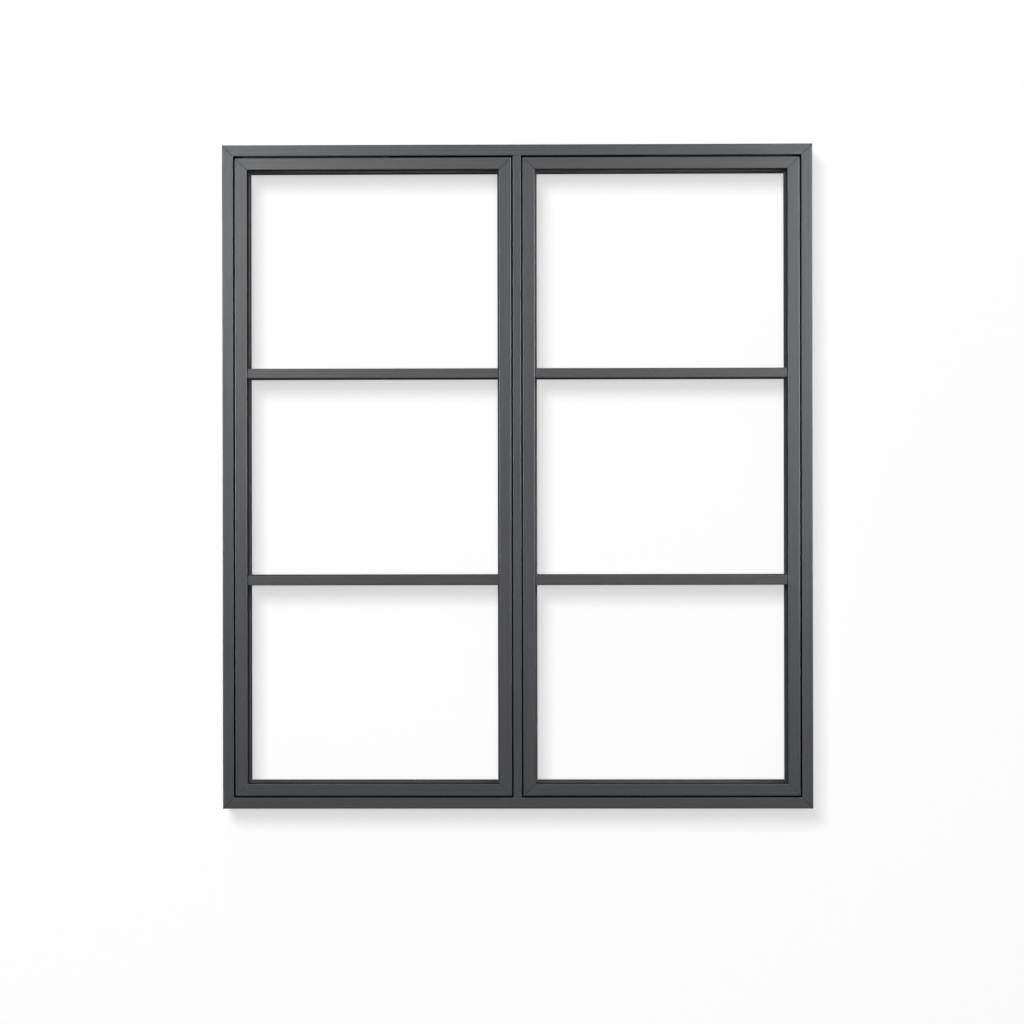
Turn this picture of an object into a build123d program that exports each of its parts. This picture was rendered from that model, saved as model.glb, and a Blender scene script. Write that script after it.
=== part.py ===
"""Anthracite aluminium window: a fixed outer frame and mullion with two flush casement sashes.

The frame is seen from outdoors. X runs to the right, Y runs from the outdoor face back into the
room, and Z runs up from the underside of the sill. Every section is drawn in two directions:
"inward" from the wall towards the light, and "back" from the outdoor face towards the room.
"""

import os

from build123d import *

# Overall size
overall_width = 1200.0
overall_height = 1350.0
frame_depth = 60.0

# Extruded walls and edges
wall = 2.0
face_thickness = 3.0
arris_radius = 1.6
rear_arris = 0.8
mitre_groove = 0.6

# Outer frame and mullion
frame_face = 22.5
frame_lip = 4.0
mullion_face = 16.5
mullion_lip = 4.0
stop_thickness = 2.5
stop_lap = 7.0

# Sashes
sash_gap = 3.5
sash_face = 24.5
sash_lip = 6.5
glazing_lip = 9.0

# Glazing bars, two across each sash
bar_count = 2
bar_face = 20.0
bar_body = 8.0
bar_end_gap = 1.5

# Glazing beads round each light
bead_depth = 22.5
bead_wall = 1.5
bead_stand = 4.0
bar_bead_stand = 1.0
bead_joint = 0.4
bead_slope = 2.0
bead_arris = 0.8

# Glazing seals, one round each light on the front of its beads
seal_height = 4.0
seal_width = 5.0
seal_radius = 1.2
seal_bore = 1.4

# Weather gasket between the frame's stop and the sash
gasket_height = 5.0
gasket_width = 5.5
gasket_radius = 1.5
gasket_bore = 2.4

# Fixing holes through the jambs
fixing_diameter = 8.0
fixing_end_distance = 150.0
fixing_middle_spacing = 350.0

# Friction stays, hidden above and below each sash
stay_length = 300.0
stay_width = 18.0
stay_plate = 2.5
stay_track_height = 4.0
stay_track_wall = 1.5
stay_end_gap = 8.0
stay_arm_width = 14.0
stay_short_arm = 70.0
stay_long_arm = 150.0
stay_rivet_radius = 3.0

# Shortest edge that an outline may have
smallest_edge = 0.01

# Sizes that follow from the ones above
half_width = overall_width / 2
front = -frame_depth / 2
back = frame_depth / 2
frame_body = frame_face - frame_lip
sash_start = frame_face + sash_gap
sash_body_start = sash_start + sash_lip
stop_reach = sash_body_start + stop_lap
sash_depth = frame_depth - stop_thickness - gasket_height
sash_body = sash_face - sash_lip - glazing_lip
floor_depth = sash_lip + sash_body
mullion_body = mullion_face - 2 * mullion_lip
mullion_sash_start = mullion_face / 2 + sash_gap
mullion_stop = mullion_sash_start + sash_lip + stop_lap
bead_height = glazing_lip + bead_stand
bar_bead_height = (bar_face - bar_body) / 2 + bar_bead_stand
stay_cavity = sash_body_start - frame_body

# Every ring of four members is given as (left, bottom, right, top) in the plane of the window
frame_ring = (-half_width, 0.0, half_width, overall_height)
left_sash_ring = (
    -half_width + sash_start,
    sash_start,
    -mullion_sash_start,
    overall_height - sash_start,
)
right_sash_ring = (
    mullion_sash_start,
    sash_start,
    half_width - sash_start,
    overall_height - sash_start,
)

SIDES = ("bottom", "top", "left", "right")


def inset(ring, left, bottom, right, top):
    """The ring's rectangle with each edge moved in towards its middle."""
    return (ring[0] + left, ring[1] + bottom, ring[2] - right, ring[3] - top)


def section_plane(ring, side):
    """The plane of a member's section: local X runs inward and local Y runs back."""
    left, bottom, right, top = ring
    middle_x = (left + right) / 2
    middle_z = (bottom + top) / 2
    origins = {
        "bottom": (middle_x, front, bottom),
        "top": (middle_x, front, top),
        "left": (left, front, middle_z),
        "right": (right, front, middle_z),
    }
    inward = {
        "bottom": Vector(0, 0, 1),
        "top": Vector(0, 0, -1),
        "left": Vector(1, 0, 0),
        "right": Vector(-1, 0, 0),
    }
    along = inward[side].cross(Vector(0, 1, 0))
    return Plane(origin=origins[side], x_dir=inward[side], z_dir=along)


def half_length(ring, side):
    """Half of the ring's size along one side."""
    left, bottom, right, top = ring
    if side in ("bottom", "top"):
        return (right - left) / 2
    return (top - bottom) / 2


def mitred_outline(outer, inner, side, joint=0.0):
    """The member's outline seen from the front, cut at 45 degrees from the inner corners.

    Where the two members at a corner have unequal widths, the upright one butts past the mitre.
    Horizontal members are shortened by the joint at each end.
    """
    left, bottom, right, top = inner
    reach_left = left - outer[0]
    reach_right = outer[2] - right
    reach_bottom = bottom - outer[1]
    reach_top = outer[3] - top
    if side in ("bottom", "top"):
        edge = bottom if side == "bottom" else top
        away = outer[1] if side == "bottom" else outer[3]
        reach = abs(away - edge)
        return [
            (left + joint, edge),
            (right - joint, edge),
            (right + min(reach, reach_right) - joint, away),
            (left - min(reach, reach_left) + joint, away),
        ]
    edge = left if side == "left" else right
    away = outer[0] if side == "left" else outer[2]
    reach = abs(away - edge)
    outwards = -1 if side == "left" else 1
    low = min(reach, reach_bottom)
    high = min(reach, reach_top)
    points = [
        (edge, bottom),
        (edge, top),
        (edge + outwards * high, top + high),
    ]
    if reach - high > smallest_edge:
        points.append((away, top + high))
    if reach - low > smallest_edge:
        points.append((away, bottom - low))
    points.append((edge + outwards * low, bottom - low))
    return points


def groove_planes(outer, side, depth):
    """Planes that look along the mitre lines of one member, on its front and its back face."""
    left, bottom, right, top = outer
    corners = {
        "bottom": ((left, bottom, 1, 1), (right, bottom, -1, 1)),
        "top": ((left, top, 1, -1), (right, top, -1, -1)),
        "left": ((left, bottom, 1, 1), (left, top, 1, -1)),
        "right": ((right, bottom, -1, 1), (right, top, -1, -1)),
    }
    planes = []
    for x, z, step_x, step_z in corners[side]:
        for y in (front, front + depth):
            planes.append(Plane(origin=(x, y, z), x_dir=(0, 1, 0), z_dir=(step_x, 0, step_z)))
    return planes


def cut_mitre_grooves(outer, side, reach, depth):
    """Break the sharp edges of a mitre, which leaves a fine groove along the joint."""
    for plane in groove_planes(outer, side, depth):
        with BuildSketch(plane) as groove:
            Rectangle(mitre_groove * 2**0.5, mitre_groove * 2**0.5, rotation=45)
        extrude(groove.sketch, amount=reach * 2**0.5, mode=Mode.SUBTRACT)


def frame_member(side):
    """A hollow frame bar: lipped face in front, stop for the sash behind, mitred at both ends."""
    inner = inset(frame_ring, stop_reach, stop_reach, stop_reach, stop_reach)
    with BuildPart() as member:
        with BuildSketch(section_plane(frame_ring, side)) as section:
            with BuildLine():
                Polyline(
                    (0, 0),
                    (frame_face, 0),
                    (frame_face, face_thickness),
                    (frame_body, face_thickness),
                    (frame_body, frame_depth - stop_thickness),
                    (stop_reach, frame_depth - stop_thickness),
                    (stop_reach, frame_depth),
                    (0, frame_depth),
                    close=True,
                )
            make_face()
            fillet(section.vertices().group_by(Axis.Y)[0], arris_radius)
            fillet(section.vertices().group_by(Axis.Y)[-1], arris_radius)
            with Locations((wall, face_thickness)):
                Rectangle(
                    frame_body - 2 * wall,
                    frame_depth - face_thickness - stop_thickness,
                    align=Align.MIN,
                    mode=Mode.SUBTRACT,
                )
        extrude(amount=half_length(frame_ring, side), both=True)
        with BuildSketch(Plane.XZ):
            with BuildLine():
                Polyline(*mitred_outline(frame_ring, inner, side), close=True)
            make_face()
        extrude(amount=frame_depth, both=True, mode=Mode.INTERSECT)
        cut_mitre_grooves(frame_ring, side, stop_reach, frame_depth)
    return member


def drill_fixings(jamb):
    """The jamb with its four fixing holes, drilled across both walls of the hollow body."""
    middle = overall_height / 2
    heights = (
        fixing_end_distance,
        middle - fixing_middle_spacing / 2,
        middle + fixing_middle_spacing / 2,
        overall_height - fixing_end_distance,
    )
    with BuildPart() as drilled:
        add(jamb.part)
        with BuildSketch(Plane.YZ):
            with Locations(*[(0, height) for height in heights]):
                Circle(fixing_diameter / 2)
        extrude(amount=overall_width, both=True, mode=Mode.SUBTRACT)
    return drilled


def sash_member(ring, side):
    """A hollow sash bar: its face laps the hardware cavity outside and the glazing rebate inside."""
    inner = inset(ring, sash_face, sash_face, sash_face, sash_face)
    with BuildPart() as member:
        with BuildSketch(section_plane(ring, side)) as section:
            with BuildLine():
                Polyline(
                    (0, 0),
                    (sash_face, 0),
                    (sash_face, face_thickness),
                    (floor_depth, face_thickness),
                    (floor_depth, sash_depth),
                    (sash_lip, sash_depth),
                    (sash_lip, face_thickness),
                    (0, face_thickness),
                    close=True,
                )
            make_face()
            fillet(section.vertices().group_by(Axis.Y)[0], arris_radius)
            fillet(section.vertices().group_by(Axis.Y)[-1], rear_arris)
            with Locations((sash_lip + wall, face_thickness)):
                Rectangle(
                    sash_body - 2 * wall,
                    sash_depth - face_thickness - wall,
                    align=Align.MIN,
                    mode=Mode.SUBTRACT,
                )
        extrude(amount=half_length(ring, side), both=True)
        with BuildSketch(Plane.XZ):
            with BuildLine():
                Polyline(*mitred_outline(ring, inner, side), close=True)
            make_face()
        extrude(amount=frame_depth, both=True, mode=Mode.INTERSECT)
        cut_mitre_grooves(ring, side, sash_face, sash_depth)
    return member


def bar_heights(ring):
    """Heights of the glazing bars' centre lines, which leave equal daylight between the beads."""
    low = ring[1] + sash_face + bead_stand
    high = ring[3] - sash_face - bead_stand
    beaded_bar = bar_face + 2 * bar_bead_stand
    light = (high - low - bar_count * beaded_bar) / (bar_count + 1)
    return [low + (n + 1) * light + (n + 0.5) * beaded_bar for n in range(bar_count)]


def glazing_bar(ring, height):
    """A T-shaped bar: its flange stops just short of the stiles' lips, its hollow web goes on."""
    middle_x = (ring[0] + ring[2]) / 2
    width = ring[2] - ring[0]
    flange_length = width - 2 * (sash_face + bar_end_gap)
    web_length = width - 2 * floor_depth
    web_depth = sash_depth - 2 * face_thickness
    plane = Plane(origin=(middle_x, front, height), x_dir=(0, 0, 1), z_dir=(-1, 0, 0))
    with BuildPart() as bar:
        with BuildSketch(plane) as flange:
            with Locations((0, face_thickness)):
                Rectangle(bar_face, face_thickness, align=(Align.CENTER, Align.MIN))
            fillet(flange.vertices().group_by(Axis.Y)[0], arris_radius)
        extrude(amount=flange_length / 2, both=True)
        with BuildSketch(plane) as web:
            with Locations((0, 2 * face_thickness)):
                Rectangle(bar_body, web_depth, align=(Align.CENTER, Align.MIN))
            fillet(web.vertices().group_by(Axis.Y)[-1], rear_arris)
            with Locations((0, 2 * face_thickness + wall)):
                Rectangle(
                    bar_body - 2 * wall,
                    web_depth - 2 * wall,
                    align=(Align.CENTER, Align.MIN),
                    mode=Mode.SUBTRACT,
                )
        extrude(amount=web_length / 2, both=True)
    return bar


def light_rings(ring):
    """For each light from the bottom up: the rebate's floor and the clear opening in the beads."""
    edges = [ring[1] + floor_depth]
    for height in bar_heights(ring):
        edges.append(height - bar_body / 2)
        edges.append(height + bar_body / 2)
    edges.append(ring[3] - floor_depth)
    lights = []
    for n in range(bar_count + 1):
        floor = (ring[0] + floor_depth, edges[2 * n], ring[2] - floor_depth, edges[2 * n + 1])
        low_bead = bead_height if n == 0 else bar_bead_height
        high_bead = bead_height if n == bar_count else bar_bead_height
        lights.append((floor, inset(floor, bead_height, low_bead, bead_height, high_bead)))
    return lights


def beads(floor, clear):
    """Four hollow glazing beads round one light, seated on the rebate at the room side."""
    heights = {
        "bottom": clear[1] - floor[1],
        "top": floor[3] - clear[3],
        "left": bead_height,
        "right": bead_height,
    }
    pieces = []
    for side in SIDES:
        height = heights[side]
        with BuildPart() as bead:
            with BuildSketch(section_plane(floor, side)) as section:
                with Locations((0, sash_depth - bead_depth)):
                    Rectangle(height, bead_depth, align=Align.MIN)
                heel = section.vertices().group_by(Axis.X)[0].sort_by(Axis.Y)
                fillet(heel[-1], rear_arris)
                tip = section.vertices().group_by(Axis.X)[-1].sort_by(Axis.Y)
                fillet(tip[0], bead_arris)
                chamfer(tip[-1], bead_slope)
                with Locations((bead_wall, sash_depth - bead_depth + bead_wall)):
                    Rectangle(
                        height - 2 * bead_wall,
                        bead_depth - 2 * bead_wall,
                        align=Align.MIN,
                        mode=Mode.SUBTRACT,
                    )
            extrude(amount=half_length(floor, side), both=True)
            with BuildSketch(Plane.XZ):
                with BuildLine():
                    Polyline(*mitred_outline(floor, clear, side, bead_joint), close=True)
                make_face()
            extrude(amount=frame_depth, both=True, mode=Mode.INTERSECT)
        pieces.append(bead.part)
    with BuildPart() as group:
        add(pieces)
    return group


def rubber_ring(ring, seat, width, height, radius, bore):
    """A hollow rubber profile bent round a ring, standing forwards from its seat."""
    left, bottom, right, top = ring
    with BuildPart() as rubber:
        with BuildLine() as path:
            Polyline(
                (left, seat, bottom),
                (right, seat, bottom),
                (right, seat, top),
                (left, seat, top),
                close=True,
            )
        with BuildSketch(Plane(origin=(left, seat, (bottom + top) / 2), x_dir=(1, 0, 0))) as section:
            Rectangle(width, height, align=(Align.CENTER, Align.MAX))
            fillet(section.vertices().group_by(Axis.Y)[0], radius)
            with Locations((0, -height / 2)):
                Circle(bore / 2, mode=Mode.SUBTRACT)
        sweep(path=path.line, transition=Transition.RIGHT)
    return rubber


def weather_gasket(ring):
    """The seal between the frame's stop and the back of one sash."""
    centre = stop_reach - sash_start - gasket_width / 2
    seat = front + frame_depth - stop_thickness
    line = inset(ring, centre, centre, centre, centre)
    return rubber_ring(line, seat, gasket_width, gasket_height, gasket_radius, gasket_bore)


def glazing_seal(clear):
    """The seal round one light, on the front of its beads, that a pane would press on."""
    out = -bead_arris - seal_width / 2
    seat = front + sash_depth - bead_depth
    line = inset(clear, out, out, out, out)
    return rubber_ring(line, seat, seal_width, seal_height, seal_radius, seal_bore)


def mullion():
    """The hollow centre post, scribed over the lips and stops of the head and the sill."""
    plane = Plane(origin=(0, front, overall_height / 2), x_dir=(1, 0, 0), z_dir=(0, 0, 1))
    stop_front = back - stop_thickness
    lip_back = front + face_thickness
    with BuildPart() as post:
        with BuildSketch(plane) as section:
            with BuildLine():
                Polyline(
                    (-mullion_face / 2, 0),
                    (mullion_face / 2, 0),
                    (mullion_face / 2, face_thickness),
                    (mullion_body / 2, face_thickness),
                    (mullion_body / 2, frame_depth - stop_thickness),
                    (mullion_stop, frame_depth - stop_thickness),
                    (mullion_stop, frame_depth),
                    (-mullion_stop, frame_depth),
                    (-mullion_stop, frame_depth - stop_thickness),
                    (-mullion_body / 2, frame_depth - stop_thickness),
                    (-mullion_body / 2, face_thickness),
                    (-mullion_face / 2, face_thickness),
                    close=True,
                )
            make_face()
            fillet(section.vertices().group_by(Axis.Y)[0], arris_radius)
            fillet(section.vertices().group_by(Axis.Y)[-1], arris_radius)
            with Locations((-mullion_body / 2 + wall, face_thickness)):
                Rectangle(
                    mullion_body - 2 * wall,
                    frame_depth - face_thickness - stop_thickness,
                    align=Align.MIN,
                    mode=Mode.SUBTRACT,
                )
        extrude(amount=overall_height / 2, both=True)
        with BuildSketch(Plane.YZ):
            with BuildLine():
                Polyline(
                    (front, frame_face),
                    (lip_back, frame_face),
                    (lip_back, frame_body),
                    (stop_front, frame_body),
                    (stop_front, stop_reach),
                    (back, stop_reach),
                    (back, overall_height - stop_reach),
                    (stop_front, overall_height - stop_reach),
                    (stop_front, overall_height - frame_body),
                    (lip_back, overall_height - frame_body),
                    (lip_back, overall_height - frame_face),
                    (front, overall_height - frame_face),
                    close=True,
                )
            make_face()
        extrude(amount=overall_width, both=True, mode=Mode.INTERSECT)
    return post


def friction_stay(ring, hinge_side, end):
    """A closed friction stay: track on the frame, two arms, and the bar that carries the sash."""
    towards_middle = 1 if hinge_side == "left" else -1
    hinge_x = ring[0] + sash_lip if hinge_side == "left" else ring[2] - sash_lip
    start_x = hinge_x + towards_middle * stay_end_gap
    wall_z = frame_body if end == "bottom" else overall_height - frame_body
    inward = 1 if end == "bottom" else -1
    middle_y = front + (face_thickness + sash_depth) / 2
    arm_level = stay_track_height + (stay_cavity - stay_track_height - 2 * stay_plate) / 2
    short_start = stay_arm_width
    long_end = stay_length - stay_arm_width
    long_start = long_end - stay_long_arm
    arm_ends = (
        (short_start, short_start + stay_short_arm),
        (long_start, long_end),
    )

    def level(height):
        """A plane at this height above the frame's wall, with local X along the stay."""
        return Plane(
            origin=(start_x, middle_y, wall_z + inward * height),
            x_dir=(towards_middle, 0, 0),
            z_dir=(0, 0, inward),
        )

    with BuildPart() as stay:
        with BuildSketch(level(0)):
            Rectangle(stay_length, stay_width, align=(Align.MIN, Align.CENTER))
        extrude(amount=stay_track_height)
        with BuildSketch(level(stay_track_wall)):
            Rectangle(
                stay_length,
                stay_width - 2 * stay_track_wall,
                align=(Align.MIN, Align.CENTER),
            )
        extrude(amount=stay_track_height, mode=Mode.SUBTRACT)
        with BuildSketch(level(arm_level)):
            for arm_start, arm_end in arm_ends:
                with Locations(((arm_start + arm_end) / 2, 0)):
                    SlotCenterToCenter(arm_end - arm_start, stay_arm_width)
        extrude(amount=stay_plate)
        with BuildSketch(level(stay_cavity - stay_plate)):
            Rectangle(stay_length, stay_arm_width, align=(Align.MIN, Align.CENTER))
        extrude(amount=stay_plate)
        with BuildSketch(level(stay_track_wall)):
            with Locations((arm_ends[0][0], 0), (arm_ends[1][1], 0)):
                Circle(stay_rivet_radius)
        extrude(amount=arm_level - stay_track_wall)
        with BuildSketch(level(arm_level + stay_plate)):
            with Locations((arm_ends[0][1], 0), (arm_ends[1][0], 0)):
                Circle(stay_rivet_radius)
        extrude(amount=stay_cavity - arm_level - 2 * stay_plate)
    return stay


def save(builder, name):
    """Label one finished piece and write it to its own file."""
    builder.part.label = name
    export_step(builder.part, f"parts/{name}.step")


def save_sash(prefix, ring, hinge_side):
    """Build and write every piece of one sash, with its gasket and its stays."""
    stile_names = {
        "left": "outer_stile" if hinge_side == "left" else "meeting_stile",
        "right": "meeting_stile" if hinge_side == "left" else "outer_stile",
    }
    member_names = {"bottom": "bottom_rail", "top": "top_rail", **stile_names}
    for side in SIDES:
        save(sash_member(ring, side), f"{prefix}_{member_names[side]}")
    for bar_name, height in zip(("lower_bar", "upper_bar"), bar_heights(ring)):
        save(glazing_bar(ring, height), f"{prefix}_{bar_name}")
    for bead_name, (floor, clear) in zip(("lower", "middle", "upper"), light_rings(ring)):
        save(beads(floor, clear), f"{prefix}_{bead_name}_beads")
        save(glazing_seal(clear), f"{prefix}_{bead_name}_seal")
    save(weather_gasket(ring), f"{prefix}_gasket")
    for end in ("bottom", "top"):
        save(friction_stay(ring, hinge_side, end), f"{prefix}_{end}_stay")


os.makedirs("parts", exist_ok=True)

save(frame_member("bottom"), "frame_sill")
save(frame_member("top"), "frame_head")
save(drill_fixings(frame_member("left")), "frame_left_jamb")
save(drill_fixings(frame_member("right")), "frame_right_jamb")
save(mullion(), "frame_mullion")
save_sash("left_sash", left_sash_ring, "left")
save_sash("right_sash", right_sash_ring, "right")
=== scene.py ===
"""Looks for an anthracite aluminium window: fixed frame, mullion and two flush casement sashes.

The window hangs closed in front of a pale wall, seen from outdoors. Lengths are metres, X runs to
the right, Y runs from the outdoor face into the room, and Z runs up from the sill's underside.
"""

import logging
import math
from dataclasses import dataclass, field, replace
from enum import Enum

import bpy
import numpy as np
from mathutils import Matrix, Vector


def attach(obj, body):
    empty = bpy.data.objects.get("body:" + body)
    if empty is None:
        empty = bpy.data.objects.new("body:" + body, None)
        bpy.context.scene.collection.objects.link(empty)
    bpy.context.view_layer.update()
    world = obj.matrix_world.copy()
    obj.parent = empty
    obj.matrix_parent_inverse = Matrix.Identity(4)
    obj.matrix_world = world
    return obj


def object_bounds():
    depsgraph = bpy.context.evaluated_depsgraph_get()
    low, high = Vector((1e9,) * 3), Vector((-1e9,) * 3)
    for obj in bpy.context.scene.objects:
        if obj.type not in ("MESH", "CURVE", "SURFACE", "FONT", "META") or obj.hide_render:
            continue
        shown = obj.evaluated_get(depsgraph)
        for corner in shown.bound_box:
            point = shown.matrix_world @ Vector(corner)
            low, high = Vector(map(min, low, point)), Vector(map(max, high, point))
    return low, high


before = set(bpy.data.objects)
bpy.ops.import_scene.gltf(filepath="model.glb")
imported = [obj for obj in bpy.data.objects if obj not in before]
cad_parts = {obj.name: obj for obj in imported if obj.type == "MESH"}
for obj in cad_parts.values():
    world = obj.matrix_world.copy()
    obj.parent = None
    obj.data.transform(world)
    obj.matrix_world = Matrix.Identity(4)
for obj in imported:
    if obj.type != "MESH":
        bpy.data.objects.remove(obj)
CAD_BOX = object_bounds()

LOG = logging.getLogger("window")

Colour = tuple[float, float, float]
Point = tuple[float, float, float]


class Grain(Enum):
    """The way an extrusion's faint die lines run, as their noise's scale along X, Y and Z."""

    PLAIN = (1.0, 1.0, 1.0)
    LEVEL = (0.012, 1.0, 1.0)
    UPRIGHT = (1.0, 1.0, 0.012)


class Ray(Enum):
    """Ray kinds that a stage material or the sky can tell apart."""

    CAMERA = "Is Camera Ray"
    GLOSSY = "Is Glossy Ray"
    TRANSMISSION = "Is Transmission Ray"


class Nodes:
    """A short way to place and join shader nodes in one tree."""

    def __init__(self, tree: bpy.types.NodeTree) -> None:
        """Empty the tree.

        Args:
            tree: The node tree of a material or of the world.
        """
        self.tree = tree
        tree.nodes.clear()

    def add(self, kind: str, inputs: dict | None = None, **settings: object) -> bpy.types.Node:
        """Make one node.

        Args:
            kind: The node's type name.
            inputs: Values or output sockets for its inputs, by name or index.
            settings: Properties of the node itself.

        Returns:
            The new node.
        """
        node = self.tree.nodes.new(kind)
        for name, value in settings.items():
            setattr(node, name, value)
        for name, value in (inputs or {}).items():
            if isinstance(value, bpy.types.NodeSocket):
                self.tree.links.new(value, node.inputs[name])
            else:
                node.inputs[name].default_value = value
        return node

    def object_place(self) -> bpy.types.NodeSocket:
        """The surface point in the object's own coordinates."""
        return self.add("ShaderNodeTexCoord").outputs["Object"]

    def spread(self, value: bpy.types.NodeSocket, low: float, high: float) -> bpy.types.NodeSocket:
        """Carry a 0 to 1 value into another range.

        Args:
            value: The socket with the 0 to 1 value.
            low: The result at 0.
            high: The result at 1.

        Returns:
            The result's socket.
        """
        ranged = self.add("ShaderNodeMapRange", {"Value": value, "To Min": low, "To Max": high})
        return ranged.outputs["Result"]

    def noise(self, scale: float, detail: float, place: bpy.types.NodeSocket) -> bpy.types.NodeSocket:
        """Cloudy noise about 0.5.

        Args:
            scale: Patches per metre.
            detail: Octaves of finer noise.
            place: The coordinates that it reads.

        Returns:
            The noise's value socket.
        """
        inputs = {"Vector": place, "Scale": scale, "Detail": detail}
        return self.add("ShaderNodeTexNoise", inputs).outputs["Fac"]

    def stretched(self, place: bpy.types.NodeSocket, scale: Point) -> bpy.types.NodeSocket:
        """Coordinates multiplied by a scale of their own along X, Y and Z.

        Args:
            place: The coordinates.
            scale: The three factors. A pattern gets longer along an axis whose factor is small.

        Returns:
            The new coordinates' socket.
        """
        return self.add("ShaderNodeMapping", {"Vector": place, "Scale": scale}).outputs["Vector"]

    def between(self, share: bpy.types.NodeSocket, first: Colour,
                second: Colour) -> bpy.types.NodeSocket:
        """A colour part of the way from one to another.

        Args:
            share: The share of the way, from 0 to 1.
            first: The colour at 0.
            second: The colour at 1.

        Returns:
            The colour's socket.
        """
        inputs = {"Factor": share, "A": (*first, 1), "B": (*second, 1)}
        return self.add("ShaderNodeMix", inputs, data_type="RGBA").outputs["Result"]

    def relief(self, pattern: bpy.types.NodeSocket, height: float,
               ground: bpy.types.NodeSocket | None = None) -> bpy.types.NodeSocket:
        """The normal of a surface that a pattern raises.

        Args:
            pattern: The pattern, from 0 to 1.
            height: The rise in metres where the pattern is 1.
            ground: The normal of the surface that is raised, or None for the piece's own.

        Returns:
            The raised surface's normal.
        """
        inputs = {"Height": pattern, "Distance": height, "Strength": 1.0}
        if ground is not None:
            inputs["Normal"] = ground
        return self.add("ShaderNodeBump", inputs).outputs["Normal"]

    def any_of(self, rays: tuple[Ray, ...]) -> bpy.types.NodeSocket:
        """One where the ray is any of these kinds, and zero elsewhere.

        Args:
            rays: The kinds of ray.

        Returns:
            The socket that says so.
        """
        light_path = self.add("ShaderNodeLightPath")
        found = light_path.outputs[rays[0].value]
        for ray in rays[1:]:
            inputs = {0: found, 1: light_path.outputs[ray.value]}
            found = self.add("ShaderNodeMath", inputs, operation="MAXIMUM").outputs[0]
        return found


def new_material(name: str) -> tuple[bpy.types.Material, Nodes]:
    """Make a material that has no nodes yet.

    Args:
        name: The material's name.

    Returns:
        The material and its nodes.
    """
    made = bpy.data.materials.new(name)
    made.use_nodes = True
    return made, Nodes(made.node_tree)


@dataclass(frozen=True)
class PowderCoat:
    """Satin powder coat.

    Its thickness varies in soft clouds and the metal's die lines show through it. It has a fine
    orange peel and a slightly uneven sheen.
    """

    name: str
    colour: Colour
    grain: Grain = Grain.PLAIN
    shade_spread: float = 0.2
    clouds_per_metre: float = 4.0
    die_lines_per_metre: float = 320.0
    die_line_share: float = 0.75
    die_line_height: float = 0.00018
    roughness: float = 0.42
    roughness_spread: float = 0.05
    sheen_patches_per_metre: float = 60.0
    peel_per_metre: float = 1100.0
    peel_height: float = 0.00006
    ior: float = 1.45
    specular: float = 0.5

    def material(self) -> bpy.types.Material:
        """Build the coat.

        Returns:
            The material.
        """
        made, nodes = new_material(self.name)
        place = nodes.object_place()
        cloud = nodes.noise(self.clouds_per_metre, detail=3.0, place=place)
        drawn = nodes.stretched(place, self.grain.value)
        lines = nodes.noise(self.die_lines_per_metre, detail=2.0, place=drawn)
        mottle = nodes.add("ShaderNodeMix", {"Factor": self.die_line_share, "A": cloud, "B": lines})
        # The noise keeps near its middle, so it is stretched to twice its range.
        tone = nodes.spread(mottle.outputs["Result"], low=-0.5, high=1.5)
        dark = tuple(c * (1 - self.shade_spread) for c in self.colour)
        light = tuple(c * (1 + self.shade_spread) for c in self.colour)
        sheen = nodes.noise(self.sheen_patches_per_metre, detail=2.0, place=place)
        peel = nodes.noise(self.peel_per_metre, detail=1.0, place=place)
        drawn_metal = nodes.relief(lines, self.die_line_height)
        coat = nodes.add("ShaderNodeBsdfPrincipled", {
            "Base Color": nodes.between(tone, dark, light),
            "Roughness": nodes.spread(sheen, self.roughness - self.roughness_spread,
                                      self.roughness + self.roughness_spread),
            "Normal": nodes.relief(peel, self.peel_height, ground=drawn_metal),
            "IOR": self.ior,
            "Specular IOR Level": self.specular,
        })
        nodes.add("ShaderNodeOutputMaterial", {"Surface": coat.outputs["BSDF"]})
        return made

    def dress(self, grain: Grain, members: tuple[str, ...]) -> None:
        """Coat members whose die lines all run one way.

        Args:
            grain: The way the lines run.
            members: The CAD nodes.
        """
        coat = replace(self, name=f"{self.name}_{grain.name.lower()}", grain=grain).material()
        for member in members:
            dress(member, coat)


@dataclass(frozen=True)
class SealRubber:
    """Matt black extruded rubber with a faint bloom."""

    name: str = "seal_rubber"
    colour: Colour = (0.016, 0.016, 0.017)
    bloom: Colour = (0.03, 0.03, 0.03)
    bloom_patches_per_metre: float = 35.0
    grains_per_metre: float = 2500.0
    grain_height: float = 0.00003
    roughness: float = 0.7
    specular: float = 0.5

    def material(self) -> bpy.types.Material:
        """Build the rubber.

        Returns:
            The material.
        """
        made, nodes = new_material(self.name)
        place = nodes.object_place()
        bloom = nodes.noise(self.bloom_patches_per_metre, detail=4.0, place=place)
        grain = nodes.noise(self.grains_per_metre, detail=2.0, place=place)
        rubber = nodes.add("ShaderNodeBsdfPrincipled", {
            "Base Color": nodes.between(bloom, self.colour, self.bloom),
            "Roughness": self.roughness,
            "Normal": nodes.relief(grain, self.grain_height),
            "Specular IOR Level": self.specular,
        })
        nodes.add("ShaderNodeOutputMaterial", {"Surface": rubber.outputs["BSDF"]})
        return made


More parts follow.
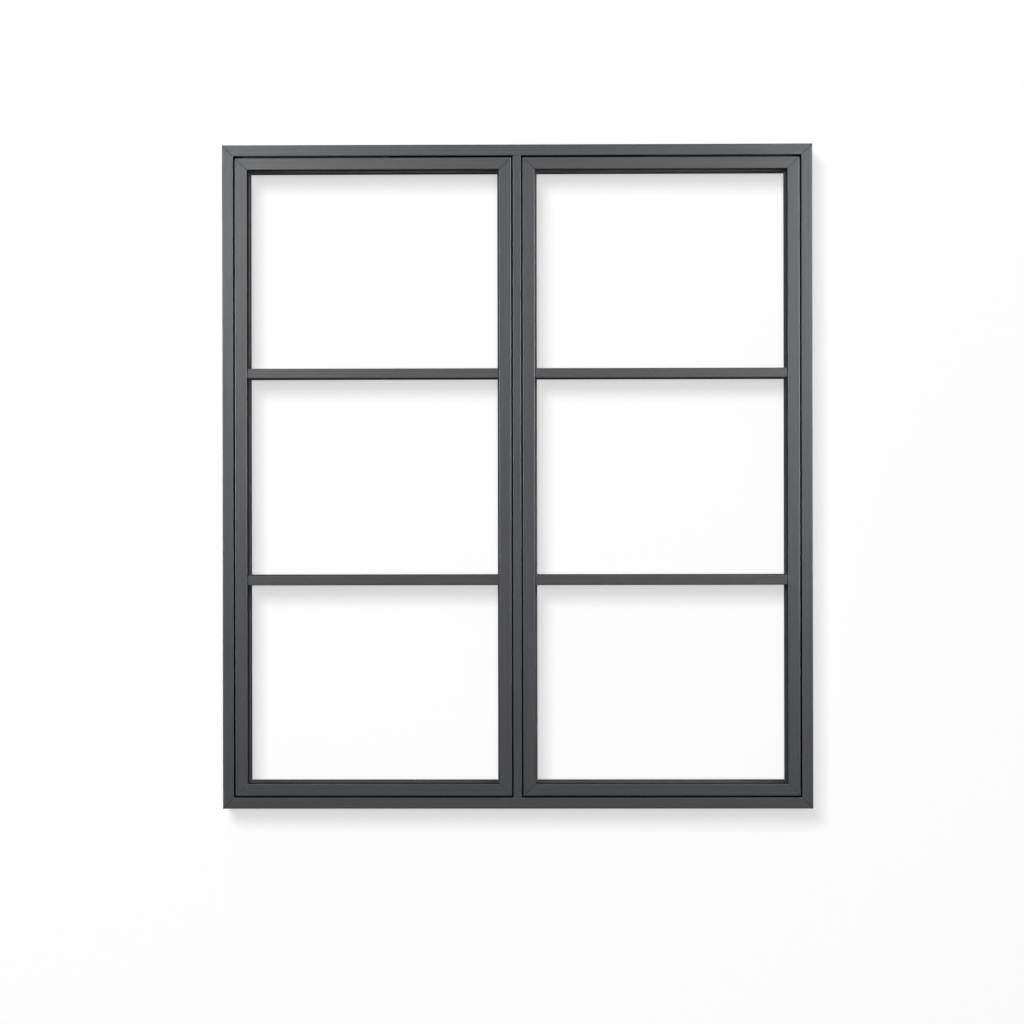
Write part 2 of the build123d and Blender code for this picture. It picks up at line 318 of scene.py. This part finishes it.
@dataclass(frozen=True)
class BrushedSteel:
    """Stainless strip, brushed along the stay. Its colour is near black, darker than bare stainless:
    painted shade for the gaps round the sashes that the stays sit in.
    """

    name: str = "stay_steel"
    # Near black: painted shade for the gaps that the stays show through.
    colour: Colour = (0.05, 0.05, 0.05)
    brushing_scale: Point = (0.04, 1.0, 1.0)
    brush_lines_per_metre: float = 3000.0
    brush_line_height: float = 0.00002
    roughness: float = 0.34
    roughness_spread: float = 0.08

    def material(self) -> bpy.types.Material:
        """Build the steel.

        Returns:
            The material.
        """
        made, nodes = new_material(self.name)
        along = nodes.stretched(nodes.object_place(), self.brushing_scale)
        brushing = nodes.noise(self.brush_lines_per_metre, detail=3.0, place=along)
        steel = nodes.add("ShaderNodeBsdfPrincipled", {
            "Base Color": (*self.colour, 1),
            "Metallic": 1.0,
            "Roughness": nodes.spread(brushing, self.roughness - self.roughness_spread,
                                      self.roughness + self.roughness_spread),
            "Normal": nodes.relief(brushing, self.brush_line_height),
        })
        nodes.add("ShaderNodeOutputMaterial", {"Surface": steel.outputs["BSDF"]})
        return made


def dress(node: str, material: bpy.types.Material) -> None:
    """Give a CAD node its finish.

    Args:
        node: The node's name.
        material: Its material.
    """
    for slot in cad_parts[node].material_slots:
        slot.link = "OBJECT"
        slot.material = material


@dataclass
class OuterFrame:
    """The fixed frame: sill, head, two jambs and the mullion."""

    finish: PowderCoat
    level: tuple[str, ...] = ("frame_sill", "frame_head")
    upright: tuple[str, ...] = ("frame_left_jamb", "frame_right_jamb", "frame_mullion")

    def build(self) -> None:
        """Coat every member of the frame."""
        self.finish.dress(Grain.LEVEL, self.level)
        self.finish.dress(Grain.UPRIGHT, self.upright)
        LOG.info("coated %s", ", ".join(self.level + self.upright))


@dataclass
class Sash:
    """One casement: four mitred members, two bars, the beads, the seal and the stays."""

    prefix: str
    finish: PowderCoat
    # The beads' coat is darker than the sash's own: painted shade in the glazing rebates.
    bead_shaded_finish: PowderCoat
    seal: SealRubber
    steel: BrushedSteel
    level: tuple[str, ...] = ("bottom_rail", "top_rail", "lower_bar", "upper_bar")
    upright: tuple[str, ...] = ("outer_stile", "meeting_stile")
    beads: tuple[str, ...] = ("lower_beads", "middle_beads", "upper_beads")
    rubber: tuple[str, ...] = ("gasket", "lower_seal", "middle_seal", "upper_seal")
    stays: tuple[str, ...] = ("bottom_stay", "top_stay")

    def named(self, parts: tuple[str, ...]) -> tuple[str, ...]:
        """The CAD nodes of these parts of the sash."""
        return tuple(f"{self.prefix}_{part}" for part in parts)

    def build(self) -> None:
        """Coat the sash and finish its seals and its stays."""
        self.finish.dress(Grain.LEVEL, self.named(self.level))
        self.finish.dress(Grain.UPRIGHT, self.named(self.upright))
        self.bead_shaded_finish.dress(Grain.PLAIN, self.named(self.beads))
        rubber = self.seal.material()
        for node in self.named(self.rubber):
            dress(node, rubber)
        steel = self.steel.material()
        for node in self.named(self.stays):
            dress(node, steel)
        LOG.info("finished %s", self.prefix)


@dataclass(frozen=True)
class Ring:
    """Four members mitred round an opening, seen from in front, and the width of their faces."""

    left: float
    right: float
    bottom: float
    top: float
    face: float

    def mirrored(self) -> "Ring":
        """The same ring on the other side of the window's middle."""
        return replace(self, left=-self.right, right=-self.left)


@dataclass
class MitreJoints:
    """The dark sealant in the four V grooves where a ring's mitred members meet in front.

    Each ribbon follows its corner's mitre line by s from 0 to 1 and crosses it by t from -1 to 1.
    It lies a little below the face, and its middle stands proud of its edges by the crown.
    """

    name: str
    sealant: SealRubber
    ring: Ring
    front: float = -0.030
    end_margin: float = 0.0010
    depth: float = 0.00019
    half_width: float = 0.00040
    crown: float = 0.00005
    steps_along: int = 32
    steps_across: int = 6

    def ribbon(self, corner: tuple[float, float], inward: tuple[float, float]) -> np.ndarray:
        """The points of one ribbon, row by row along the mitre line.

        The reach is the way in from the corner, along X and Z alike: the end margin plus s times
        what two end margins leave of the face. Across the line, t times the half width over the
        root of 2 goes to one of X and Z and comes off the other, by the corner's side, so that
        every ribbon faces forwards. Y is the front plus the depth, less the crown times 1 - t
        squared.

        Args:
            corner: X and Z of the ring's outer corner.
            inward: The signs of X and Z on the way in.

        Returns:
            An array of points.
        """
        s, t = np.meshgrid(np.linspace(0, 1, self.steps_along + 1),
                           np.linspace(-1, 1, self.steps_across + 1), indexing="ij")
        reach = self.end_margin + s * (self.ring.face - 2 * self.end_margin)
        across = t * self.half_width / math.sqrt(2)
        side = inward[0] * inward[1]
        x = corner[0] + inward[0] * (reach - side * across)
        y = self.front + self.depth - self.crown * (1 - t**2)
        z = corner[1] + inward[1] * (reach + side * across)
        return np.stack([x, y, z], axis=-1).reshape(-1, 3)

    def build(self) -> bpy.types.Object:
        """Lay the ribbons in the grooves.

        Returns:
            The four ribbons as one piece.
        """
        columns = self.steps_across + 1
        along, across = np.meshgrid(np.arange(self.steps_along), np.arange(self.steps_across),
                                    indexing="ij")
        first = (along * columns + across).ravel()
        quads = np.stack([first, first + columns, first + columns + 1, first + 1], axis=-1)
        corners = (
            ((self.ring.left, self.ring.bottom), (1, 1)),
            ((self.ring.right, self.ring.bottom), (-1, 1)),
            ((self.ring.left, self.ring.top), (1, -1)),
            ((self.ring.right, self.ring.top), (-1, -1)),
        )
        points = [self.ribbon(corner, inward) for corner, inward in corners]
        per_ribbon = columns * (self.steps_along + 1)
        faces = [quads + number * per_ribbon for number in range(len(corners))]
        mesh = bpy.data.meshes.new(self.name)
        mesh.from_pydata(np.concatenate(points).tolist(), [], np.concatenate(faces).tolist())
        mesh.polygons.foreach_set("use_smooth", np.ones(len(mesh.polygons), dtype=bool))
        mesh.materials.append(self.sealant.material())
        piece = bpy.data.objects.new(self.name, mesh)
        bpy.context.scene.collection.objects.link(piece)
        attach(piece, "root")
        LOG.info("laid %s", self.name)
        return piece


def grid_sheet(name: str, corner: Point, across: Point, up: Point) -> bpy.types.Object:
    """A flat four-sided sheet: every point is the corner plus s times across plus t times up.

    Args:
        name: The object's name.
        corner: The point at s = t = 0.
        across: The vector along s from 0 to 1.
        up: The vector along t from 0 to 1. The sheet faces across x up.

    Returns:
        The sheet.
    """
    s = np.array([0.0, 1.0, 1.0, 0.0])[:, None]
    t = np.array([0.0, 0.0, 1.0, 1.0])[:, None]
    points = np.array(corner) + s * np.array(across) + t * np.array(up)
    mesh = bpy.data.meshes.new(name)
    mesh.from_pydata(points.tolist(), [], [(0, 1, 2, 3)])
    sheet = bpy.data.objects.new(name, mesh)
    bpy.context.scene.collection.objects.link(sheet)
    return sheet


@dataclass
class Stage:
    """A pale wall just behind the window and a pale floor well below it."""

    wall_gap: float = 0.008
    wall_width: float = 14.0
    wall_height: float = 9.0
    floor_drop: float = 0.9
    floor_depth: float = 16.0
    wall_pale: float = 0.8
    wall_glow: float = 0.525
    wall_sheen: float = 0.05
    floor_pale: float = 0.2
    floor_glow: float = 0.5
    floor_sheen: float = 0.45

    def surface(self, name: str, pale: float, glow: float, sheen: float,
                one_sided: bool) -> bpy.types.Material:
        """A pale matt surface that the camera sees a little brighter than it lights the window.

        Args:
            name: The material's name.
            pale: The share of light that it sends back.
            glow: Light added for camera rays alone.
            sheen: The brightness that it shows in the sheen of the window.
            one_sided: True if the surface doesn't show from behind.

        Returns:
            The material.
        """
        made, nodes = new_material(name)
        matt = nodes.add("ShaderNodeBsdfDiffuse", {"Color": (pale, pale, pale, 1)})
        seen = nodes.any_of((Ray.CAMERA,))
        strength = nodes.add("ShaderNodeMath", {0: seen, 1: glow}, operation="MULTIPLY")
        light = nodes.add("ShaderNodeEmission", {"Strength": strength.outputs[0]})
        direct = nodes.add("ShaderNodeAddShader", {0: matt.outputs[0], 1: light.outputs[0]})
        mirrored = nodes.add("ShaderNodeEmission", {"Strength": sheen})
        in_sheen = nodes.any_of((Ray.GLOSSY,))
        face = nodes.add("ShaderNodeMixShader", {0: in_sheen, 1: direct.outputs[0],
                                                 2: mirrored.outputs[0]})
        if one_sided:
            behind = nodes.add("ShaderNodeNewGeometry").outputs["Backfacing"]
            clear = nodes.add("ShaderNodeBsdfTransparent")
            face = nodes.add("ShaderNodeMixShader", {0: behind, 1: face.outputs[0],
                                                     2: clear.outputs[0]})
        nodes.add("ShaderNodeOutputMaterial", {"Surface": face.outputs[0]})
        return made

    def build(self) -> None:
        """Set up the wall and the floor."""
        low, high = CAD_BOX
        floor_z = low.z - self.floor_drop
        wall_y = high.y + self.wall_gap
        half = self.wall_width / 2
        wall = grid_sheet("pale_wall", (-half, wall_y, floor_z), (self.wall_width, 0, 0),
                          (0, 0, self.wall_height))
        wall.data.materials.append(self.surface("pale_wall", self.wall_pale, self.wall_glow,
                                                self.wall_sheen, one_sided=True))
        wall.visible_shadow = False
        floor = grid_sheet("pale_floor", (-half, wall_y - self.floor_depth / 2, floor_z),
                           (self.wall_width, 0, 0), (0, self.floor_depth, 0))
        floor.data.materials.append(self.surface("pale_floor", self.floor_pale, self.floor_glow,
                                                 self.floor_sheen, one_sided=False))
        LOG.info("wall at y %.3f and floor at z %.3f", wall_y, floor_z)


@dataclass
class Sky:
    """Soft light from all round, stronger from above, that shows plain white."""

    from_below: float = 0.03
    from_above: float = 0.08

    def build(self) -> None:
        """Set up the world."""
        world = bpy.data.worlds.new("studio")
        bpy.context.scene.world = world
        world.use_nodes = True
        nodes = Nodes(world.node_tree)
        direction = nodes.add("ShaderNodeTexCoord").outputs["Generated"]
        height = nodes.add("ShaderNodeSeparateXYZ", {0: direction}).outputs["Z"]
        ranged = nodes.add("ShaderNodeMapRange", {"Value": height, "From Min": -1.0,
                                                  "From Max": 1.0, "To Min": self.from_below,
                                                  "To Max": self.from_above})
        soft = nodes.add("ShaderNodeBackground", {"Color": (1, 1, 1, 1),
                                                  "Strength": ranged.outputs["Result"]})
        white = nodes.add("ShaderNodeBackground", {"Color": (1, 1, 1, 1), "Strength": 1.0})
        seen = nodes.any_of((Ray.CAMERA, Ray.GLOSSY, Ray.TRANSMISSION))
        mixed = nodes.add("ShaderNodeMixShader", {0: seen, 1: soft.outputs[0],
                                                  2: white.outputs[0]})
        nodes.add("ShaderNodeOutputWorld", {"Surface": mixed.outputs[0]})


@dataclass
class Softbox:
    """A square or oblong area lamp aimed at a point of the window.

    Its radiance is its brightness as seen, where 1 is plain white. A lamp that isn't matt shows
    in the sheen of the coat and lights nothing else.
    """

    name: str
    azimuth: float
    elevation: float
    distance: float
    width: float
    height: float
    radiance: float
    aim: Point = (0.0, 0.0, 0.675)
    matt: bool = True
    glossy: bool = True

    def build(self) -> bpy.types.Object:
        """Hang the lamp. Azimuth 0 is straight in front of the window and positive is to its right.

        Returns:
            The lamp.
        """
        data = bpy.data.lights.new(self.name, "AREA")
        data.shape = "RECTANGLE"
        data.size = self.width
        data.size_y = self.height
        data.energy = math.pi * self.width * self.height * self.radiance
        lamp = bpy.data.objects.new(self.name, data)
        bpy.context.scene.collection.objects.link(lamp)
        turn = math.radians(self.azimuth)
        rise = math.radians(self.elevation)
        away = Vector((math.sin(turn) * math.cos(rise), -math.cos(turn) * math.cos(rise),
                       math.sin(rise)))
        lamp.location = Vector(self.aim) + away * self.distance
        lamp.rotation_euler = away.to_track_quat("Z", "Y").to_euler()
        lamp.visible_camera = False
        lamp.visible_diffuse = self.matt
        lamp.visible_glossy = self.glossy
        return lamp


@dataclass
class Studio:
    """The lamps round the window."""

    lamps: list[Softbox] = field(default_factory=lambda: [
        Softbox("key", azimuth=-19.0, elevation=25.5, distance=12.0, width=4.4, height=4.4,
                radiance=10.0, glossy=False),
        Softbox("front", azimuth=3.0, elevation=4.0, distance=16.0, width=5.0, height=5.0,
                radiance=5.4, glossy=False),
        Softbox("key_sheen", azimuth=-18.5, elevation=28.0, distance=4.0, width=2.0, height=2.0,
                radiance=1.0, matt=False),
        Softbox("left_front", azimuth=-20.0, elevation=14.0, distance=2.6, width=0.8, height=0.8,
                radiance=6.5, matt=False),
        Softbox("left_strip", azimuth=-38.0, elevation=14.0, distance=1.7, width=0.5, height=1.2,
                radiance=3.2, matt=False),
        Softbox("left_high", azimuth=-34.0, elevation=34.0, distance=1.7, width=0.5, height=0.8,
                radiance=3.0, matt=False),
        Softbox("right_strip", azimuth=38.0, elevation=14.0, distance=1.7, width=0.5, height=1.2,
                radiance=6.3, matt=False),
        Softbox("right_side", azimuth=58.0, elevation=22.0, distance=2.2, width=0.9, height=1.4,
                radiance=17.0, matt=False),
        Softbox("left_edge", azimuth=-80.0, elevation=5.0, distance=2.6, width=1.0, height=1.0,
                radiance=34.0, matt=False),
        Softbox("right_edge", azimuth=80.0, elevation=5.0, distance=2.6, width=1.0, height=1.0,
                radiance=28.0, matt=False),
        Softbox("room_side", azimuth=180.0, elevation=4.0, distance=5.0, width=2.0, height=2.0,
                radiance=14.0, glossy=False),
    ])

    def build(self) -> None:
        """Hang every lamp."""
        for lamp in self.lamps:
            lamp.build()
            LOG.info("hung %s", lamp.name)


@dataclass
class PhotoCamera:
    """The photograph's viewpoint, a little below the window's middle and nearly square to it."""

    place: Point = (0.060, -5.5, 0.6064)
    pitch: float = math.radians(0.0356)
    roll: float = math.radians(-0.0969)
    yaw: float = math.radians(-0.7408)
    lens: float = 94.65
    sensor: float = 36.0

    def build(self) -> None:
        """Set the camera up and make it the scene's own."""
        data = bpy.data.cameras.new("photo_camera")
        data.lens = self.lens
        data.sensor_width = self.sensor
        camera = bpy.data.objects.new("photo_camera", data)
        bpy.context.scene.collection.objects.link(camera)
        turned = (Matrix.Rotation(self.roll, 3, "Y") @ Matrix.Rotation(self.pitch, 3, "X")
                  @ Matrix.Rotation(self.yaw, 3, "Z")).transposed()
        right = turned @ Vector((1, 0, 0))
        ahead = turned @ Vector((0, 1, 0))
        up = turned @ Vector((0, 0, 1))
        camera.matrix_world = Matrix((
            (right.x, up.x, -ahead.x, self.place[0]),
            (right.y, up.y, -ahead.y, self.place[1]),
            (right.z, up.z, -ahead.z, self.place[2]),
            (0, 0, 0, 1),
        ))
        bpy.context.scene.camera = camera


def main() -> None:
    """Build the window's finishes, the stage, the light and the camera in order."""
    logging.basicConfig(level=logging.INFO, format="%(name)s: %(message)s")
    bpy.context.scene.view_settings.view_transform = "Standard"
    anthracite: Colour = (0.0455, 0.0487, 0.0548)
    # The beads get a colour darker than the anthracite coat: painted shade for the glazing rebates
    # round the lights.
    bead_painted_shade_colour: Colour = (0.033, 0.035, 0.039)
    OuterFrame(PowderCoat("frame_coat", anthracite)).build()
    for prefix in ("left_sash", "right_sash"):
        coat = PowderCoat(f"{prefix}_coat", anthracite)
        bead_shaded_coat = PowderCoat(f"{prefix}_bead_coat", bead_painted_shade_colour, roughness=0.65, specular=0.3)
        Sash(prefix, coat, bead_shaded_coat, SealRubber(), BrushedSteel()).build()
    sealant = SealRubber("mitre_sealant", colour=(0.004, 0.004, 0.004), bloom=(0.008, 0.008, 0.008),
                         roughness=0.9, specular=0.1)
    frame_ring = Ring(left=-0.600, right=0.600, bottom=0.0, top=1.350, face=0.0225)
    right_ring = Ring(left=0.01175, right=0.574, bottom=0.026, top=1.324, face=0.0245)
    MitreJoints("frame_mitre_joints", sealant, frame_ring).build()
    MitreJoints("left_sash_mitre_joints", sealant, right_ring.mirrored()).build()
    MitreJoints("right_sash_mitre_joints", sealant, right_ring).build()
    Stage().build()
    Sky().build()
    Studio().build()
    PhotoCamera().build()


if __name__ == "__main__":
    main()
